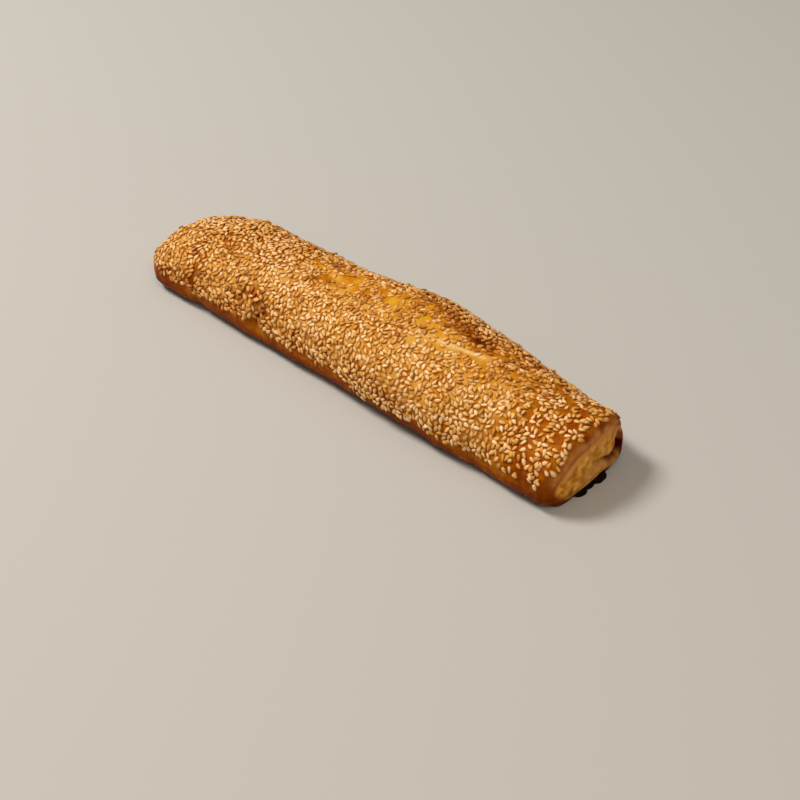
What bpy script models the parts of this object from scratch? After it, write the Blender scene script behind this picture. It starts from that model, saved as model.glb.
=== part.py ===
"""A long sesame roll: baked dough with folded ends, and the larger of its seeds fused to the crust.

Metres, +Z up. +X runs along the roll to the end whose fold gapes, and -Y is its straighter side.
The origin is under the middle of the roll, on the surface that it rests on.
"""

import math
import random

import bmesh
import bpy
from mathutils import Matrix, Vector, noise

# Driving dimensions of the dough
LENGTH = 0.275
FRONT_Y = -0.0345
WIDTH = 0.0650
HEIGHT = 0.0345
SWELL_X = 0.026
SWELL_REACH = 0.046
SWELL_WIDTH = 0.0060
SWELL_HEIGHT = 0.0070
FRONT_BOW = 0.0016
FRONT_BOW_X = 0.050
FRONT_BOW_REACH = 0.048

# How the dough narrows and thins towards each end
TAPER_REACH = 0.045
NEAR_END_WIDTH = 0.0622
NEAR_END_HEIGHT = 0.0336
FAR_END_WIDTH = 0.0585
FAR_END_HEIGHT = 0.0280
NEAR_SLANT = -0.012
FAR_SLANT = 0.115
NEAR_LIFT = 0.0030
FAR_LIFT = 0.0012
LIFT_REACH = 0.016

# Shape of a cross-section: a squarish arch over a tucked-in foot
WAIST_SHARE = 0.30
ARCH_POWER = 2.35
FOOT_POWER = 3.0
FOOT_SINK = 0.0015

# Rounding from the long faces into each end face: how far along X, and what share of the section
NEAR_CORNER = 0.0075
NEAR_CORNER_SHARE = 0.13
FAR_CORNER = 0.0130
FAR_CORNER_SHARE = 0.24

# How much more the near end's rounding takes off where the top sheet comes down over the face, and
# how far the middle of that sheet is turned from straight up
NEAR_TOP_ROUNDING = 1.2
NEAR_TOP_TURN = math.radians(35)

# Relief of the crust: the size of the lumps and how far they stand out
BROAD_LUMP = 0.034
BROAD_RELIEF = 0.0015
SMALL_LUMP = 0.012
SMALL_RELIEF = 0.0005
FOOT_FADE = 0.006

# Pinches across the sides and crown: place along X, angle round the section, half width along X,
# half reach round the section in radians, and depth
PINCHES = (
    (-0.1010, math.radians(196), 0.0034, 0.42, 0.0016),
    (-0.0560, math.radians(166), 0.0030, 0.26, 0.0014),
    (0.0900, math.radians(192), 0.0040, 0.34, 0.0012),
    (-0.0300, math.radians(20), 0.0045, 0.40, 0.0013),
    (0.0620, math.radians(12), 0.0040, 0.36, 0.0014),
)

# The stretched strip along the crown, where the dough parted between the seeds
STRETCH_START = -0.050
STRETCH_STOP = 0.085
STRETCH_Y = -0.0025
STRETCH_SWAY = -0.0078
STRETCH_SWAY_X = 0.020
STRETCH_SWAY_LENGTH = 0.150
STRETCH_HALF_WIDTH = 0.0026
STRETCH_DEPTH = 0.0007

# Folds of the end faces: grooves at a share of the way from a face's middle to its rim
CREASE_SHARE = 0.95
CREASE_HALF_WIDTH = 0.065
CREASE_DEPTH = 0.0014
GAP_SHARE = 0.90
GAP_HALF_WIDTH = 0.075
GAP_DEPTH = 0.0042
GAP_ANGLES = (math.radians(-24), math.radians(28))
FLAP_BULGE = 0.0014

# Mesh of the dough
SIDES = 28
BODY_RINGS = 42
CORNER_RINGS = 4
FACE_SHARES = (0.95, 0.88, 0.72, 0.48, 0.22)
CROWN_CROWDING = 0.34

# Sesame seeds
SEED_LENGTH = 0.0034
SEED_WIDTH = 0.0021
SEED_THICKNESS = 0.0012
SEED_SUNK = 0.00045
SEED_SPACING = 0.0072
SEED_TRIES = 9000
SEED_LIMIT = 205
SEED_FRONT_ANGLE = math.radians(188)
SEED_BACK_ANGLE = math.radians(-6)
SEED_BARE_NEAR = 0.009
SEED_BARE_FAR = 0.001
RANDOM_SEED = 11


def clear_scene():
    """Removes whatever the file holds."""
    for old in list(bpy.data.objects):
        bpy.data.objects.remove(old)


def smooth(value):
    """An even S from 0 to 1."""
    value = min(max(value, 0.0), 1.0)
    return value * value * (3 - 2 * value)


def bell(value):
    """A bell curve of height 1 and half width 1."""
    return math.exp(-value * value)


def signed_power(value, power):
    """A power that keeps the sign of its value."""
    return math.copysign(abs(value) ** power, value)


def towards_end(x):
    """0 along the middle, rising to 1 at either end."""
    return smooth(1 - (LENGTH / 2 - abs(x)) / TAPER_REACH)


def section(x):
    """Width, height, middle and lift of the dough's section at x."""
    swell = bell((x - SWELL_X) / SWELL_REACH)
    near = x > 0
    share = towards_end(x)
    bow = FRONT_BOW * bell((x - FRONT_BOW_X) / FRONT_BOW_REACH)
    width = WIDTH + swell * SWELL_WIDTH + bow
    width += share * ((NEAR_END_WIDTH if near else FAR_END_WIDTH) - WIDTH)
    height = HEIGHT + swell * SWELL_HEIGHT
    height += share * ((NEAR_END_HEIGHT if near else FAR_END_HEIGHT) - HEIGHT)
    rise = smooth(1 - (LENGTH / 2 - abs(x)) / LIFT_REACH)
    lift = rise * (NEAR_LIFT if near else FAR_LIFT)
    return width, height, FRONT_Y - bow + width / 2, lift


def slant(x):
    """How far X runs on for each metre of Y, which sets the end faces askew."""
    return towards_end(x) * (NEAR_SLANT if x > 0 else FAR_SLANT)


def outline(x, angle, share):
    """A point of the smooth section at x, scaled to a share of its size, and the way out from its middle."""
    width, height, middle, lift = section(x)
    waist = WAIST_SHARE * height
    power = 2 / (ARCH_POWER if math.sin(angle) >= 0 else FOOT_POWER)
    across = width / 2 * signed_power(math.cos(angle), power)
    reach = height - waist if math.sin(angle) >= 0 else waist + FOOT_SINK
    up = reach * signed_power(math.sin(angle), power)
    point = Vector((x, middle + share * across, max(waist + share * up, lift)))
    way = Vector((0, across, up))
    return point, way.normalized()


def lumps(point):
    """Uneven rise of the dough, fading to nothing at the foot."""
    broad = noise.noise(point / BROAD_LUMP + Vector((3.1, 0.4, 7.7)))
    small = noise.noise(point / SMALL_LUMP + Vector((0.2, 5.6, 1.3)))
    return (BROAD_RELIEF * broad + SMALL_RELIEF * small) * smooth(point.z / FOOT_FADE)


def turned(angle, about):
    """The angle between two directions round the section, from -pi to pi."""
    return math.remainder(angle - about, 2 * math.pi)


def pinches(x, angle):
    """Depth of the pinches that cross the sides."""
    return -sum(
        depth * bell((x - place) / half) * bell(turned(angle, about) / reach)
        for place, about, half, reach, depth in PINCHES
    )


def stretch_line(x):
    """Where the stretched strip runs, as a Y."""
    return STRETCH_Y + STRETCH_SWAY * math.cos((x - STRETCH_SWAY_X) * 2 * math.pi / STRETCH_SWAY_LENGTH)


def stretch(point):
    """Depth of the stretched strip along the crown."""
    along = smooth((point.x - STRETCH_START) / 0.020) * smooth((STRETCH_STOP - point.x) / 0.020)
    across = bell((point.y - stretch_line(point.x)) / STRETCH_HALF_WIDTH)
    return -STRETCH_DEPTH * along * across * smooth((point.z - HEIGHT / 2) / 0.004)


def face_rim(x):
    """The share of the section at which the end face near x meets its rounded corner."""
    return 1 - (NEAR_CORNER_SHARE if x > 0 else FAR_CORNER_SHARE)


def rounded_share(x, share, angle):
    """The share of the section that a ring keeps at an angle, with the near end's top rounded off more."""
    if x < 0:
        return share
    rounding = 1 + NEAR_TOP_ROUNDING * smooth(math.sin(angle - NEAR_TOP_TURN))
    rim = face_rim(x)
    if share > rim:
        return 1 - (1 - share) * rounding
    return share / rim * (1 - (1 - rim) * rounding)


def end_folds(angle, share, near):
    """Relief of an end face: the crease under the top sheet, the flap, and the gap beside it."""
    flap = FLAP_BULGE * (1 - share * share)
    over_top = smooth(math.sin(angle) / 0.35 + 0.6)
    wander = 0.025 * math.sin(2.3 * angle + 0.8)
    crease = -CREASE_DEPTH * over_top * bell((share - CREASE_SHARE - wander) / CREASE_HALF_WIDTH)
    if not near:
        return flap + crease
    low, high = GAP_ANGLES
    place = turned(angle, (low + high) / 2) / ((high - low) / 2)
    gap = -GAP_DEPTH * smooth(2.4 * (1 - abs(place))) * bell((share - GAP_SHARE) / GAP_HALF_WIDTH)
    return flap + crease + gap


def surface(x, share, tilt, angle):
    """A point of the crust. The tilt is 0 on the long faces and a quarter turn on an end face."""
    point, way = outline(x, angle, rounded_share(x, share, angle))
    out = way * math.cos(tilt) + Vector((math.sin(tilt), 0, 0))
    relief = lumps(point)
    relief += (pinches(x, angle) + stretch(point)) * math.cos(tilt)
    relief += end_folds(angle, share / face_rim(x), x > 0) * abs(math.sin(tilt)) ** 3
    made = point + out * relief
    _, _, middle, lift = section(x)
    made.x += slant(x) * (made.y - middle)
    made.z = max(made.z, lift)
    return made


def end_rows(end, corner):
    """Rows of (x, share, tilt) from the middle of an end face out to the long faces."""
    tip = math.copysign(LENGTH / 2, end)
    rows = [(tip, 0.0, end * math.pi / 2)]
    rim = face_rim(end)
    rows += [(tip, share * rim, end * math.pi / 2) for share in reversed(FACE_SHARES)]
    for step in range(CORNER_RINGS + 1):
        tilt = math.pi / 2 * (1 - step / CORNER_RINGS)
        share = rim + (1 - rim) * math.cos(tilt)
        rows.append((tip - end * corner * (1 - math.sin(tilt)), share, end * tilt))
    return rows


def all_rows():
    """Every ring of the dough, from the far end to the near end."""
    far = end_rows(-1, FAR_CORNER)
    near = end_rows(1, NEAR_CORNER)
    start, stop = far[-1][0], near[-1][0]
    body = [
        (start + (stop - start) * step / BODY_RINGS, 1.0, 0.0) for step in range(1, BODY_RINGS)
    ]
    return far + body + near[::-1]


def make_dough():
    """The dough: a sphere with its poles on the two end faces, drawn out to the roll's form."""
    rows = all_rows()
    shape = bmesh.new()
    bmesh.ops.create_uvsphere(shape, u_segments=SIDES, v_segments=len(rows) - 1, radius=1.0)
    for vertex in shape.verts:
        latitude = math.acos(min(max(vertex.co.z, -1.0), 1.0))
        row = rows[round(latitude / math.pi * (len(rows) - 1))]
        around = -math.atan2(vertex.co.y, vertex.co.x)
        angle = around + CROWN_CROWDING * math.cos(around)
        vertex.co = surface(*row, angle)
    bmesh.ops.triangulate(shape, faces=shape.faces)
    mesh = bpy.data.meshes.new("roll")
    shape.to_mesh(mesh)
    shape.free()
    return bpy.data.objects.new("roll", mesh)


def make_seed_mesh():
    """One sesame seed: a flat drop, wide at one end and pointed at the other."""
    shape = bmesh.new()
    bmesh.ops.create_icosphere(shape, subdivisions=1, radius=0.5)
    turn = Matrix.Rotation(math.pi / 2, 4, "Y")
    bmesh.ops.transform(shape, matrix=turn, verts=shape.verts)
    for vertex in shape.verts:
        drop = 1 - 0.55 * (vertex.co.x + 0.5)
        vertex.co.x *= SEED_LENGTH
        vertex.co.y *= SEED_WIDTH * (drop + 0.15)
        vertex.co.z *= SEED_THICKNESS * (0.6 + 0.4 * drop)
    mesh = bpy.data.meshes.new("seed")
    shape.to_mesh(mesh)
    shape.free()
    return mesh


def seed_place(dough, x, angle, spin):
    """The matrix that lays a seed on the dough near x and angle, turned by spin."""
    _, point, normal, _ = dough.closest_point_on_mesh(surface(x, 1.0, 0.0, angle))
    turn = normal.to_track_quat("Z", "X").to_matrix().to_4x4()
    lift = normal * (SEED_THICKNESS / 2 - SEED_SUNK)
    return Matrix.Translation(point + lift) @ turn @ Matrix.Rotation(spin, 4, "Z")


def scatter_seeds(dough, mesh):
    """Seeds spread evenly over the top and sides of the dough, as one collection."""
    draw = random.Random(RANDOM_SEED)
    group = bpy.data.collections.new("seeds")
    placed = []
    for _ in range(SEED_TRIES):
        x = draw.uniform(-LENGTH / 2 + SEED_BARE_FAR, LENGTH / 2 - SEED_BARE_NEAR)
        angle = draw.uniform(SEED_BACK_ANGLE, SEED_FRONT_ANGLE)
        spin = draw.uniform(0, 2 * math.pi)
        place = seed_place(dough, x, angle, spin)
        if any((place.translation - other).length < SEED_SPACING for other in placed):
            continue
        placed.append(place.translation)
        seed = bpy.data.objects.new(f"seed_{len(placed):03d}", mesh)
        seed.matrix_world = place
        group.objects.link(seed)
        if len(placed) == SEED_LIMIT:
            break
    bpy.context.scene.collection.children.link(group)
    return group


def fuse(body, group):
    """Joins every object of the group to the body, and removes them."""
    join = body.modifiers.new("seeds", "BOOLEAN")
    join.operation = "UNION"
    join.operand_type = "COLLECTION"
    join.collection = group
    join.solver = "MANIFOLD"
    graph = bpy.context.evaluated_depsgraph_get()
    fused = bpy.data.meshes.new_from_object(body.evaluated_get(graph))
    body.modifiers.remove(join)
    body.data = fused
    for piece in list(group.objects):
        bpy.data.objects.remove(piece)
    bpy.data.collections.remove(group)


def stand_on_origin(body):
    """Shifts the mesh so that its box stands centred on the origin."""
    points = [vertex.co for vertex in body.data.vertices]
    low = [min(point[axis] for point in points) for axis in range(3)]
    high = [max(point[axis] for point in points) for axis in range(3)]
    shift = Vector((-(low[0] + high[0]) / 2, -(low[1] + high[1]) / 2, -low[2]))
    body.data.transform(Matrix.Translation(shift))


def baked_crust():
    """Glossy golden-brown crust."""
    material = bpy.data.materials.new("baked_crust")
    material.use_nodes = True
    shader = material.node_tree.nodes["Principled BSDF"]
    shader.inputs["Base Color"].default_value = (0.46, 0.21, 0.055, 1)
    shader.inputs["Roughness"].default_value = 0.42
    shader.inputs["Metallic"].default_value = 0.0
    return material


def main():
    """Builds the roll."""
    clear_scene()
    group = bpy.data.collections.new("sesame_roll")
    bpy.context.scene.collection.children.link(group)
    roll = make_dough()
    group.objects.link(roll)
    bpy.context.view_layer.update()
    seeds = scatter_seeds(roll, make_seed_mesh())
    fuse(roll, seeds)
    stand_on_origin(roll)
    roll.data.materials.clear()
    roll.data.materials.append(baked_crust())
    roll.data.set_sharp_from_angle(angle=math.radians(40))


main()
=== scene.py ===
"""The looks of a long sesame roll: its baked crust, its folded ends and the seeds that cover it.

Metres, +Z up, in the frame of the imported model. +X runs along the roll to the end whose fold gapes,
and -Y is its straighter side, which faces the camera.
"""

import logging
import math
import random
from dataclasses import dataclass
from enum import Enum
from itertools import product
from typing import Any, Sequence

import bpy
import numpy as np
from mathutils import Matrix, Vector, noise


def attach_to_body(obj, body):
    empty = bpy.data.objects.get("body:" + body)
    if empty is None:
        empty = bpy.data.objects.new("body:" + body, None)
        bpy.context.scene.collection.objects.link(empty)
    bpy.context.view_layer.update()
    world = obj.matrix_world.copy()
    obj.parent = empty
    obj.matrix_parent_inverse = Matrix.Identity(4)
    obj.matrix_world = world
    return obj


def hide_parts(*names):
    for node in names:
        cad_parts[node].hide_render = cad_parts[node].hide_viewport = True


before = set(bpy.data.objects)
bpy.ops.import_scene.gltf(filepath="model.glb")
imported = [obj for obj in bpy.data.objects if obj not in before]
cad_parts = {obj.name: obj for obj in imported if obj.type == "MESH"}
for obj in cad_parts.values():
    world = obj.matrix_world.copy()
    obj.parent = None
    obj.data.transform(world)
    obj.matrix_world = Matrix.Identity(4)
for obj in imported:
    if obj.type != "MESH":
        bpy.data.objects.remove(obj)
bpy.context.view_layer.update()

LOG = logging.getLogger("sesame_roll")
BODY = "root"
NODE = "roll"
Colour = tuple[float, float, float]
Socket = bpy.types.NodeSocket
Laid = tuple[Vector, Vector, float]


def smooth(value: np.ndarray | float) -> np.ndarray:
    """An even S that rises from 0 at 0 to 1 at 1."""
    held = np.clip(value, 0.0, 1.0)
    return held * held * (3 - 2 * held)


def bell(value: np.ndarray | float) -> np.ndarray:
    """A bell curve of height 1 and half width 1."""
    return np.exp(-np.square(value))


@dataclass(frozen=True)
class Fade:
    """A soft step from 0 at its start to 1 its reach further on, or further back if that is negative."""

    start: float
    reach: float

    def at(self, value: Any) -> Any:
        """The step's height at a value, or at an array of values."""
        return smooth((value - self.start) / self.reach)


@dataclass(frozen=True)
class Band:
    """1 between a rising and a falling step, and 0 away from them."""

    rise: Fade
    fall: Fade

    def at(self, value: Any) -> Any:
        """The band's height at a value, or at an array of values."""
        return self.rise.at(value) * self.fall.at(value)


@dataclass(frozen=True)
class Hill:
    """A bell curve of height 1 over its middle."""

    middle: float
    half_width: float

    def at(self, value: Any) -> Any:
        """The hill's height at a value, or at an array of values."""
        return bell((value - self.middle) / self.half_width)


def signed_power(value: np.ndarray, power: np.ndarray | float) -> np.ndarray:
    """A power that keeps the sign of its value."""
    return np.sign(value) * np.abs(value) ** power


def turned(angle: np.ndarray, about: float) -> np.ndarray:
    """The angle between two directions round a section, from -pi to pi."""
    return (angle - about + np.pi) % (2 * np.pi) - np.pi


def axes(points: np.ndarray) -> tuple[np.ndarray, ...]:
    """The X, the Y and the Z of many points."""
    return tuple(points[..., axis] for axis in range(3))


def noise_at(points: np.ndarray, size: float | Sequence[float], offset: Sequence[float]) -> np.ndarray:
    """Smooth noise from about -1 to 1 at many points.

    Args:
        points: An array of points, with X, Y and Z along its last axis.
        size: The size of the lumps, one for all axes or one for each.
        offset: Where in the noise the origin lies.

    Returns:
        One value for each point.
    """
    spread = points.reshape(-1, 3) / np.asarray(size) + np.asarray(offset)
    values = [noise.noise(place) for place in spread.tolist()]
    return np.array(values).reshape(points.shape[:-1])


def facing(tilt: np.ndarray) -> np.ndarray:
    """1 on an end face and 0 on the long faces, from the tilt of each ring."""
    return np.abs(np.sin(tilt)) ** 3


@dataclass(frozen=True)
class Blotches:
    """Uneven patches: their level and strength, the size of their lumps and their place in the noise."""

    level: float
    strength: float
    lump: float | tuple[float, float, float]
    offset: tuple[float, float, float]

    def at(self, points: np.ndarray) -> np.ndarray:
        """The height of the patches at each point."""
        return self.level + self.strength * noise_at(points, self.lump, self.offset)


@dataclass(frozen=True)
class Pinch:
    """A pinch across the roll: its place along X and round the section, its reach and its depth."""

    x: float
    around: float
    half_width: float
    reach: float
    depth: float

    def at(self, x: np.ndarray, angle: np.ndarray) -> np.ndarray:
        """Its depth at places along the roll and directions round the section."""
        along = self.depth * bell((x - self.x) / self.half_width)
        return along * bell(turned(angle, self.around) / self.reach)


@dataclass(frozen=True)
class Section:
    """Width, height, middle and lift of the dough's section, each as an array along the roll."""

    width: np.ndarray
    height: np.ndarray
    middle: np.ndarray
    lift: np.ndarray


@dataclass(frozen=True)
class RollForm:
    """The form of the dough, from the sizes that its solid has, with the finer relief of its skin."""

    length: float = 0.275
    front_y: float = -0.0345
    width: float = 0.0650
    height: float = 0.0345
    swell_x: float = 0.026
    swell_reach: float = 0.046
    swell_width: float = 0.0060
    swell_height: float = 0.0070
    front_bow: float = 0.0016
    front_bow_x: float = 0.050
    front_bow_reach: float = 0.048
    taper_reach: float = 0.045
    near_end_width: float = 0.0622
    near_end_height: float = 0.0336
    far_end_width: float = 0.0585
    far_end_height: float = 0.0280
    near_slant: float = -0.012
    far_slant: float = 0.115
    near_lift: float = 0.0030
    far_lift: float = 0.0012
    lift_reach: float = 0.016
    waist_share: float = 0.30
    arch_power: float = 2.35
    foot_power: float = 3.0
    foot_sink: float = 0.0015
    near_corner: float = 0.0075
    near_corner_share: float = 0.13
    far_corner: float = 0.0130
    far_corner_share: float = 0.24
    near_top_rounding: float = 1.2
    near_top_turn: float = math.radians(35)
    broad_lump: float = 0.034
    broad_relief: float = 0.0015
    small_lump: float = 0.012
    small_relief: float = 0.0005
    foot_fade: float = 0.006
    stretch_start: float = -0.050
    stretch_stop: float = 0.085
    stretch_y: float = -0.0025
    stretch_sway: float = -0.0078
    stretch_sway_x: float = 0.020
    stretch_sway_length: float = 0.150
    stretch_half_width: float = 0.0026
    stretch_depth: float = 0.0007
    stretch_fade: float = 0.020
    stretch_low_fade: float = 0.004
    crease_share: float = 0.95
    crease_half_width: float = 0.065
    crease_depth: float = 0.0014
    crease_turn: float = 0.35
    crease_low: float = 0.6
    crease_sway: float = 0.025
    crease_sway_turns: float = 2.3
    crease_sway_start: float = 0.8
    gap_share: float = 0.90
    gap_half_width: float = 0.075
    gap_depth: float = 0.0042
    gap_low: float = math.radians(-24)
    gap_high: float = math.radians(28)
    gap_end_slope: float = 2.4
    flap_bulge: float = 0.0014
    pinch_list: tuple[Pinch, ...] = (
        Pinch(-0.1010, math.radians(196), 0.0034, 0.42, 0.0016),
        Pinch(-0.0560, math.radians(166), 0.0030, 0.26, 0.0014),
        Pinch(0.0900, math.radians(192), 0.0040, 0.34, 0.0012),
        Pinch(-0.0300, math.radians(20), 0.0045, 0.40, 0.0013),
        Pinch(0.0620, math.radians(12), 0.0040, 0.36, 0.0014),
    )
    shift: tuple[float, float, float] = (0.00017, -0.00009, 0.0)

    def towards_end(self, x: np.ndarray) -> np.ndarray:
        """0 along the middle, rising to 1 at either end."""
        return smooth(1 - (self.length / 2 - np.abs(x)) / self.taper_reach)

    def section(self, x: np.ndarray) -> Section:
        """The dough's section.

        Args:
            x: Places along the roll.

        Returns:
            The section at each place.
        """
        near = x > 0
        swell = bell((x - self.swell_x) / self.swell_reach)
        bow = self.front_bow * bell((x - self.front_bow_x) / self.front_bow_reach)
        end_width = np.where(near, self.near_end_width, self.far_end_width)
        end_height = np.where(near, self.near_end_height, self.far_end_height)
        width = self.width + swell * self.swell_width + bow
        width = width + self.towards_end(x) * (end_width - self.width)
        height = self.height + swell * self.swell_height
        height = height + self.towards_end(x) * (end_height - self.height)
        rise = smooth(1 - (self.length / 2 - np.abs(x)) / self.lift_reach)
        lift = rise * np.where(near, self.near_lift, self.far_lift)
        return Section(width, height, self.front_y - bow + width / 2, lift)

    def slant(self, x: np.ndarray) -> np.ndarray:
        """How far X runs on for each metre of Y, which sets the end faces askew."""
        return self.towards_end(x) * np.where(x > 0, self.near_slant, self.far_slant)

    def outline(self, x: np.ndarray, share: np.ndarray, angle: np.ndarray) -> tuple[np.ndarray, np.ndarray]:
        """The smooth section, scaled to a share of its size.

        Args:
            x: Places along the roll, as a column.
            share: The share of the section's size at each place, as a column.
            angle: Directions round the section, as a row.

        Returns:
            The points, and the unit vectors out from the section's middle.
        """
        part = self.section(x)
        upper = np.sin(angle) >= 0
        waist = self.waist_share * part.height
        power = 2 / np.where(upper, self.arch_power, self.foot_power)
        across = part.width / 2 * signed_power(np.cos(angle), power)
        reach = np.where(upper, part.height - waist, waist + self.foot_sink)
        up = reach * signed_power(np.sin(angle), power)
        along = np.broadcast_to(x, across.shape)
        height = np.maximum(waist + share * up, part.lift)
        point = np.stack((along, part.middle + share * across, height), -1)
        way = np.stack((np.zeros_like(across), across, up), -1)
        return point, way / np.linalg.norm(way, axis=-1, keepdims=True)

    def lumps(self, point: np.ndarray) -> np.ndarray:
        """Uneven rise of the dough, fading to nothing at the foot.

        Args:
            point: Points of the section.

        Returns:
            One value for each point.
        """
        broad = noise_at(point, self.broad_lump, (3.1, 0.4, 7.7))
        small = noise_at(point, self.small_lump, (0.2, 5.6, 1.3))
        relief = self.broad_relief * broad + self.small_relief * small
        return relief * smooth(point[..., 2] / self.foot_fade)

    def pinches(self, x: np.ndarray, angle: np.ndarray) -> np.ndarray:
        """Depth of the pinches that cross the sides."""
        return -sum(pinch.at(x, angle) for pinch in self.pinch_list)

    def stretch_line(self, x: np.ndarray) -> np.ndarray:
        """Where the stretched strip runs, as a Y."""
        turn = (x - self.stretch_sway_x) * 2 * np.pi / self.stretch_sway_length
        return self.stretch_y + self.stretch_sway * np.cos(turn)

    def stretch_share(self, point: np.ndarray) -> np.ndarray:
        """1 in the stretched strip along the crown, and 0 away from it.

        Args:
            point: Points of the crust.

        Returns:
            One value for each point.
        """
        x = point[..., 0]
        rise = Fade(self.stretch_start, self.stretch_fade)
        along = Band(rise, Fade(self.stretch_stop, -self.stretch_fade)).at(x)
        across = bell((point[..., 1] - self.stretch_line(x)) / self.stretch_half_width)
        return along * across * Fade(self.height / 2, self.stretch_low_fade).at(point[..., 2])

    def face_rim(self, x: np.ndarray) -> np.ndarray:
        """The share of the section at which the end face near x meets its rounded corner."""
        return 1 - np.where(x > 0, self.near_corner_share, self.far_corner_share)

    def rounded_share(self, x: np.ndarray, share: np.ndarray, angle: np.ndarray) -> np.ndarray:
        """The share of the section that each ring keeps.

        Args:
            x: Places along the roll, as a column.
            share: The share at each place before the near end's top is rounded off, as a column.
            angle: Directions round the section, as a row.

        Returns:
            The share at each place and direction.
        """
        rounding = 1 + self.near_top_rounding * smooth(np.sin(angle - self.near_top_turn)) * (x > 0)
        rim = self.face_rim(x)
        corner = 1 - (1 - share) * rounding
        face = share / rim * (1 - (1 - rim) * rounding)
        return np.where(share > rim, corner, face)

    def crease_at(self, angle: np.ndarray, share: np.ndarray, half_width: float) -> np.ndarray:
        """1 along the crease under the top sheet of an end face, and 0 away from it.

        Args:
            angle: Directions round the section, as a row.
            share: How far out to the face's rim each ring lies, as a column.
            half_width: Its half width, as a share of the section.

        Returns:
            A value for each ring and direction.
        """
        over_top = smooth(np.sin(angle) / self.crease_turn + self.crease_low)
        wander = self.crease_sway * np.sin(self.crease_sway_turns * angle + self.crease_sway_start)
        return over_top * bell((share - self.crease_share - wander) / half_width)

    def gap_at(self, angle: np.ndarray, share: np.ndarray, half_width: float) -> np.ndarray:
        """1 along the gap beside the flap of the near end face, and 0 away from it.

        Args:
            angle: Directions round the section, as a row.
            share: How far out to the face's rim each ring lies, as a column.
            half_width: Its half width, as a share of the section.

        Returns:
            A value for each ring and direction.
        """
        half = (self.gap_high - self.gap_low) / 2
        place = turned(angle, (self.gap_low + self.gap_high) / 2) / half
        ends = smooth(self.gap_end_slope * (1 - np.abs(place)))
        return ends * bell((share - self.gap_share) / half_width)

    def end_folds(self, x: np.ndarray, share: np.ndarray, angle: np.ndarray) -> np.ndarray:
        """Relief of an end face: the crease under the top sheet, the flap, and the gap beside it.

        Args:
            x: Places along the roll, as a column.
            share: How far out to the face's rim each ring lies, as a column.
            angle: Directions round the section, as a row.

        Returns:
            The height at each ring and direction.
        """
        flap = self.flap_bulge * (1 - share * share)
        crease = self.crease_depth * self.crease_at(angle, share, self.crease_half_width)
        gap = self.gap_depth * self.gap_at(angle, share, self.gap_half_width)
        return flap - crease - np.where(x > 0, gap, 0.0)

    def surface(self, x: np.ndarray, share: np.ndarray, tilt: np.ndarray, angle: np.ndarray) -> np.ndarray:
        """Points of the crust.

        Args:
            x: Places along the roll, as a column.
            share: The share of the section's size at each place, as a column.
            tilt: 0 on the long faces and a quarter turn on an end face, as a column.
            angle: Directions round the section, as a row.

        Returns:
            The points, one for each place and direction.
        """
        point, way = self.outline(x, self.rounded_share(x, share, angle), angle)
        lean = np.stack((np.sin(tilt), np.zeros_like(tilt), np.zeros_like(tilt)), -1)
        out = way * np.cos(tilt)[..., None] + lean
        relief = self.lumps(point)
        stretch = -self.stretch_depth * self.stretch_share(point)
        relief = relief + (self.pinches(x, angle) + stretch) * np.cos(tilt)
        face = share / self.face_rim(x)
        relief = relief + self.end_folds(x, face, angle) * facing(tilt)
        made = point + out * relief[..., None]
        part = self.section(x)
        made[..., 0] += self.slant(x) * (made[..., 1] - part.middle)
        made[..., 2] = np.maximum(made[..., 2], part.lift)
        return made + np.array(self.shift)


def opaque(colour: Any) -> Any:
    """A colour with its alpha, or another node's colour as it is."""
    return colour if isinstance(colour, Socket) else (*colour, 1.0)


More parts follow.
